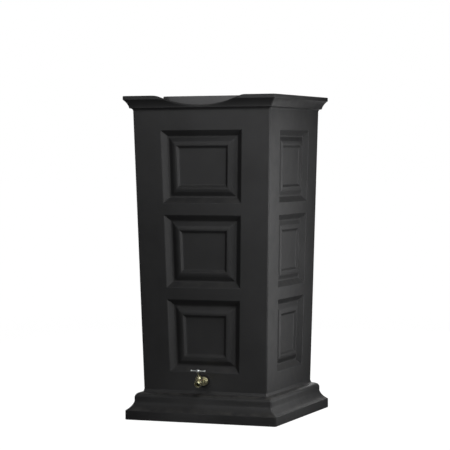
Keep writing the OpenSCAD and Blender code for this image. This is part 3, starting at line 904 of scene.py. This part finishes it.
class Look:
    """A node material. Its detail is sized in millimetres on the piece's shape at rest."""

    def __init__(self, name, **constants):
        self.material = bpy.data.materials.new(name)
        self.material.use_nodes = True
        self.tree = self.material.node_tree
        self.shader = self.tree.nodes["Principled BSDF"]
        self.place = self.add("TexCoord").outputs["Object"]
        for socket, value in constants.items():
            self.shader.inputs[socket.replace("_", " ")].default_value = value

    def add(self, kind, inputs=None, **settings):
        node = self.tree.nodes.new("ShaderNode" + kind)
        for key, value in settings.items():
            setattr(node, key, value)
        for key, value in (inputs or {}).items():
            self.join(node.inputs[key], value)
        return node

    def join(self, socket, value):
        if isinstance(value, bpy.types.NodeSocket):
            self.tree.links.new(value, socket)
        else:
            socket.default_value = value

    def drive(self, socket, value):
        self.join(self.shader.inputs[socket], value)

    def noise(self, size, detail=3, squash=(1, 1, 1)):
        """Noise with features of a size in millimetres, finer along an axis whose squash is over 1."""
        place = self.add("Mapping", {"Vector": self.place, "Scale": squash}).outputs["Vector"]
        inputs = {"Vector": place, "Scale": 1 / (size * MM), "Detail": detail}
        return self.add("TexNoise", inputs).outputs["Fac"]

    def span(self, value, low, high, to_low=0.0, to_high=1.0):
        """Turns low..high of a value into to_low..to_high."""
        inputs = {"Value": value, "From Min": low, "From Max": high, "To Min": to_low, "To Max": to_high}
        return self.add("MapRange", inputs).outputs["Result"]

    def times(self, a, b):
        return self.add("Math", {0: a, 1: b}, operation="MULTIPLY").outputs["Value"]

    def mix(self, factor, a, b):
        """From colour a to colour b."""
        inputs = {0: factor, 6: (*a, 1) if isinstance(a, tuple) else a, 7: (*b, 1)}
        return self.add("Mix", inputs, data_type="RGBA").outputs[2]

    def edges(self, radius):
        """1 on edges and in corners, and 0 on faces."""
        rounded_normal = self.add("Bevel", {"Radius": radius * MM}, samples=6).outputs["Normal"]
        normal = self.add("NewGeometry").outputs["Normal"]
        same = self.add("VectorMath", {0: rounded_normal, 1: normal}, operation="DOT_PRODUCT")
        return self.span(same.outputs["Value"], 0.995, 0.9)

    def painted_shade_in_hollows(self, reach):
        """1 deep in corners and grooves, and 0 in the open: a mask for painted shade."""
        open_air = self.add("AmbientOcclusion", {"Distance": reach * MM}, samples=8).outputs["AO"]
        return self.span(open_air, 0.75, 0.25)

    def upward(self):
        """1 on faces that look up, and 0 on upright ones."""
        normal = self.add("NewGeometry").outputs["Normal"]
        return self.span(self.add("SeparateXYZ", {0: normal}).outputs["Z"], 0.5, 1)

    def bump(self, *layers):
        """Bump from layers of (height, depth in millimetres)."""
        normal = None
        for height, depth in layers:
            inputs = {"Height": height, "Distance": depth * MM, "Strength": 1.0}
            if normal:
                inputs["Normal"] = normal
            normal = self.add("Bump", inputs).outputs["Normal"]
        self.drive("Normal", normal)
        return self.material


DUST = (0.16, 0.15, 0.13)


def moulded_plastic(name, dark, light, scuff, roughness, grain):
    """Rotationally moulded plastic: orange peel, faint clouding, dust on top and paler rubbed edges."""
    look = Look(name, IOR=1.48)
    cloud = look.span(look.noise(160, 4), 0.35, 0.65)
    speck = look.span(look.noise(1.6, 2), 0.35, 0.7, 0, 0.5)
    colour = look.mix(cloud, dark, light)
    colour = look.mix(look.times(speck, 0.35), colour, light)
    rubbed = look.times(look.edges(2.2), look.span(look.noise(14, 5), 0.42, 0.68))
    colour = look.mix(look.times(rubbed, 0.45), colour, scuff)
    dusty = look.times(look.upward(), look.span(look.noise(30, 6), 0.4, 0.75, 0, 0.22))
    colour = look.mix(dusty, colour, DUST)
    look.drive("Base Color", colour)
    sheen = look.span(look.noise(55, 5), 0.3, 0.7, roughness - 0.045, roughness + 0.045)
    dulled = look.add("Math", {0: sheen, 1: look.times(rubbed, 0.1)}, operation="ADD")
    look.drive("Roughness", dulled.outputs["Value"])
    return look.bump((look.noise(60, 2), 0.5), (look.noise(5, 2), grain), (look.noise(0.8, 2), grain * 0.5))


def metal(name, fresh, dull_and_shade, edge, roughness, grain, grain_size, squash=(1, 1, 1)):
    """Metal with dulled patches, painted shade in its corners and brighter rubbed edges."""
    look = Look(name, Metallic=1.0)
    patches = look.span(look.noise(9, 5), 0.38, 0.68)
    colour = look.mix(look.times(patches, 0.55), fresh, dull_and_shade)
    # painted shade: corners and grooves are darkened towards the dull colour
    colour = look.mix(look.times(look.painted_shade_in_hollows(5), 0.75), colour, dull_and_shade)
    rubbed = look.times(look.edges(0.5), look.span(look.noise(4, 4), 0.3, 0.6))
    colour = look.mix(look.times(rubbed, 0.7), colour, edge)
    look.drive("Base Color", colour)
    dullness = look.span(look.noise(6, 5), 0.3, 0.7, roughness - 0.07, roughness + 0.1)
    look.drive("Roughness", dullness)
    return look.bump((look.noise(7, 2), grain * 1.5), (look.noise(grain_size, 3, squash), grain))


def soft_goods(name, dark, light, roughness, grain_size, grain):
    """Rubber or pressed fibre: matt and slightly mottled."""
    look = Look(name)
    colour = look.mix(look.span(look.noise(6, 5), 0.35, 0.65), dark, light)
    worn = tuple(1.6 * c for c in light)
    look.drive("Base Color", look.mix(look.times(look.edges(0.6), 0.4), colour, worn))
    look.drive("Roughness", look.span(look.noise(3, 3), 0.3, 0.7, roughness - 0.08, roughness + 0.08))
    return look.bump((look.noise(grain_size, 3), grain))


BLACK = moulded_plastic(
    "moulded_black", dark=(0.0125, 0.0125, 0.013), light=(0.018, 0.018, 0.0187),
    scuff=(0.032, 0.032, 0.032), roughness=0.5, grain=0.05)
GREY = moulded_plastic(
    "planter_grey", dark=(0.085, 0.085, 0.087), light=(0.115, 0.115, 0.117),
    scuff=(0.2, 0.2, 0.2), roughness=0.6, grain=0.08)
RUBBER = soft_goods(
    "rubber", dark=(0.004, 0.004, 0.004), light=(0.008, 0.008, 0.008),
    roughness=0.88, grain_size=0.5, grain=0.03)
FIBRE = soft_goods(
    "fibre", dark=(0.13, 0.045, 0.03), light=(0.2, 0.07, 0.045),
    roughness=0.8, grain_size=0.35, grain=0.05)
# Each metal's dull colour is used for its dulled patches and for the painted shade in its corners.
CAST_BRASS = metal(
    "cast_brass", fresh=(0.66, 0.63, 0.42), dull_and_shade=(0.26, 0.24, 0.14), edge=(0.95, 0.93, 0.72),
    roughness=0.4, grain=0.035, grain_size=0.7)
TURNED_BRASS = metal(
    "turned_brass", fresh=(0.7, 0.67, 0.46), dull_and_shade=(0.3, 0.28, 0.17), edge=(0.95, 0.93, 0.74),
    roughness=0.27, grain=0.008, grain_size=0.3)
PLATED = metal(
    "plated", fresh=(0.86, 0.9, 0.89), dull_and_shade=(0.7, 0.74, 0.73), edge=(0.95, 0.97, 0.96),
    roughness=0.42, grain=0.02, grain_size=0.9)
STEEL = metal(
    "steel", fresh=(0.6, 0.61, 0.62), dull_and_shade=(0.43, 0.43, 0.43), edge=(0.78, 0.79, 0.8),
    roughness=0.3, grain=0.006, grain_size=0.25, squash=(1, 1, 6))


# ---- Pieces ----

def piece(name, bm, body, replaces, material, sharp=34, weighted=True):
    return finished(new_object(name, bm), body, replaces, material, sharp, weighted)


piece("barrel", shell_mesh(), "root", ["barrel_shell"], BLACK)
piece("planter", planter_mesh(), "planter", ["planter_box"], GREY)
piece("screen_basket_piece", basket_mesh(), "screen", ["screen_basket"], BLACK)
piece("woven_mesh", woven_mesh(), "screen", ["screen_mesh"], STEEL, 60, False)
piece("mesh_ring", mesh_ring_mesh(), "screen", ["screen_mesh_ring"], BLACK)

casting = cast(new_object("tap_casting", casting_mesh()), 0.5, 4)
for cutter in casting_cutters():
    cut(casting, cutter)
finished(casting, "root", ["tap_body"], CAST_BRASS, 40, False)
piece("tap_outlet_thread", thread_mesh(OUTLET, 13, OUTLET_L, HOSE_R, HOSE_PITCH, 7.6), "root",
      ["tap_body"], TURNED_BRASS, 50, False)
shank = frame_on((TAP_X, PAD_Y, TAP_Z), (0, 1, 0))
piece("tap_shank_thread", thread_mesh(shank, -2.5, SHANK_L, SHANK_R, SHANK_PITCH, SHANK_BORE_R), "root",
      ["tap_body"], TURNED_BRASS, 50, False)
piece("tap_washer", washer_mesh(), "root", ["tap_outer_washer"], RUBBER)
piece("bonnet", bonnet_mesh(), "root", ["tap_bonnet"], TURNED_BRASS)
piece("gland_nut", gland_mesh(), "root", ["tap_gland_nut"], TURNED_BRASS)
handle = cast(new_object("handle", handle_mesh()), 0.3, 6)
finished(handle, "spindle", ["tap_handle"], PLATED, 60, False)
screw = cut(new_object("handle_screw", screw_mesh()), screw_slot())
finished(screw, "spindle", ["tap_handle_screw"], STEEL)

KEPT_NODES = {
    "tap_inner_washer": RUBBER, "tap_backing_washer": STEEL, "tap_lock_nut": TURNED_BRASS,
    "tap_bonnet_gasket": FIBRE, "tap_packing": RUBBER, "tap_spindle": TURNED_BRASS,
    "tap_jumper": TURNED_BRASS, "tap_seat_washer": RUBBER, "tap_washer_nut": TURNED_BRASS,
}
for name, material in KEPT_NODES.items():
    mesh = frame["nodes"][name].data
    mesh.materials.clear()
    mesh.materials.append(material)


# ---- Camera, floor and light ----
# Lengths from here on are metres.

CAMERA_AZIMUTH = math.radians(21.55)
CAMERA_PITCH = math.radians(2.05)
CAMERA_ROLL = math.radians(-0.27)
CAMERA_DISTANCE = 7.507
CAMERA_LENS = 156.1
SENSOR_W = 36
AIM_RIGHT = -0.0119
AIM_HEIGHT = 0.7271

WORLD_LIGHT = 0.012
WORLD_SEEN = 1.0
FLOOR_GLOW = 0.97                     # as the camera sees the floor close to the barrel
FLOOR_NEAR = 0.6
FLOOR_FAR = 5.0                       # where the floor is as white as the world
FLOOR_HALF = 60

SOFTBOXES = (                         # name, place, aim, size, watts
    ("key", (1.0, -1.2, 2.2), (0.1, 0, 0.9), (0.8, 0.8), 27),
    ("brow", (-0.45, -1.9, 1.4), (0, -0.28, 1.2), (0.8, 0.3), 3.4),
    ("side", (0.8, 0.5, 0.6), (0.27, -0.2, 0.6), (0.3, 1.2), 2.8),
    ("near", (0.95, -0.45, 0.7), (0.25, -0.15, 0.66), (0.4, 0.9), 5),
    ("low", (0.5, -1.2, 0.3), (0, -0.3, 0.15), (0.5, 0.3), 0.8),
    ("bounce", (-0.14, -0.52, 0.03), (0, -0.31, 0.145), (0.12, 0.12), 0.06),
    ("front", (-0.2, -2.0, 0.7), (0, 0, 0.7), (0.4, 1.3), 2.5),
    ("left", (-2.5, 1.0, 1.2), (0, 0, 0.6), (1.6, 1.6), 30),
    ("back", (-0.5, 3.5, 1.0), (0, 0, 0.6), (1.6, 1.6), 20),
)


def look_from(obj, place, aim):
    """Puts an object at a place with its -Z towards the aim."""
    obj.location = place
    obj.rotation_euler = (Vector(aim) - Vector(place)).to_track_quat("-Z", "Y").to_euler()
    bpy.context.scene.collection.objects.link(obj)
    return obj


def softbox(name, place, aim, size, watts):
    lamp = bpy.data.lights.new(name, "AREA")
    lamp.shape = "RECTANGLE"
    lamp.size, lamp.size_y = size
    lamp.energy = watts
    box = look_from(bpy.data.objects.new(name, lamp), place, aim)
    box.visible_camera = False
    return box


right = Vector((math.cos(CAMERA_AZIMUTH), math.sin(CAMERA_AZIMUTH), 0))
back = Vector((math.sin(CAMERA_AZIMUTH) * math.cos(CAMERA_PITCH),
               -math.cos(CAMERA_AZIMUTH) * math.cos(CAMERA_PITCH),
               math.sin(CAMERA_PITCH)))
aim = right * AIM_RIGHT + Z * AIM_HEIGHT
lens = bpy.data.cameras.new("camera")
lens.lens = CAMERA_LENS
lens.sensor_width = SENSOR_W
camera = look_from(bpy.data.objects.new("camera", lens), aim + back * CAMERA_DISTANCE, aim)
camera.rotation_euler.rotate_axis("Z", CAMERA_ROLL)
bpy.context.scene.camera = camera

for softbox_row in SOFTBOXES:
    softbox(*softbox_row)


def pale_floor():
    """A floor that the camera sees as white, a little less so near the barrel, and that lights little."""
    bm = bmesh.new()
    bmesh.ops.create_grid(bm, x_segments=2, y_segments=2, size=FLOOR_HALF / MM)
    floor = new_object("floor", bm)
    look = Look("floor", Roughness=0.9)
    patches = look.span(look.noise(400, 3), 0.3, 0.7)
    look.drive("Base Color", look.mix(patches, (0.045, 0.045, 0.045), (0.055, 0.055, 0.055)))
    away = look.add("VectorMath", {0: look.place}, operation="LENGTH").outputs["Value"]
    glow = look.span(away, FLOOR_NEAR, FLOOR_FAR, FLOOR_GLOW, WORLD_SEEN)
    seen = look.add("LightPath").outputs["Is Camera Ray"]
    look.shader.inputs["Emission Color"].default_value = (1, 1, 1, 1)
    look.drive("Emission Strength", look.times(glow, seen))
    floor.data.materials.append(look.material)


def surroundings():
    """White to the camera, and dimmer as a light."""
    world = bpy.data.worlds.new("studio")
    world.use_nodes = True
    bpy.context.scene.world = world
    tree = world.node_tree
    background = tree.nodes["Background"]
    seen = tree.nodes.new("ShaderNodeLightPath")
    strength = tree.nodes.new("ShaderNodeMapRange")
    strength.inputs["To Min"].default_value = WORLD_LIGHT
    strength.inputs["To Max"].default_value = WORLD_SEEN
    tree.links.new(seen.outputs["Is Camera Ray"], strength.inputs["Value"])
    tree.links.new(strength.outputs["Result"], background.inputs["Strength"])
    background.inputs["Color"].default_value = (1, 1, 1, 1)


pale_floor()
surroundings()
bpy.context.scene.view_settings.view_transform = "Standard"
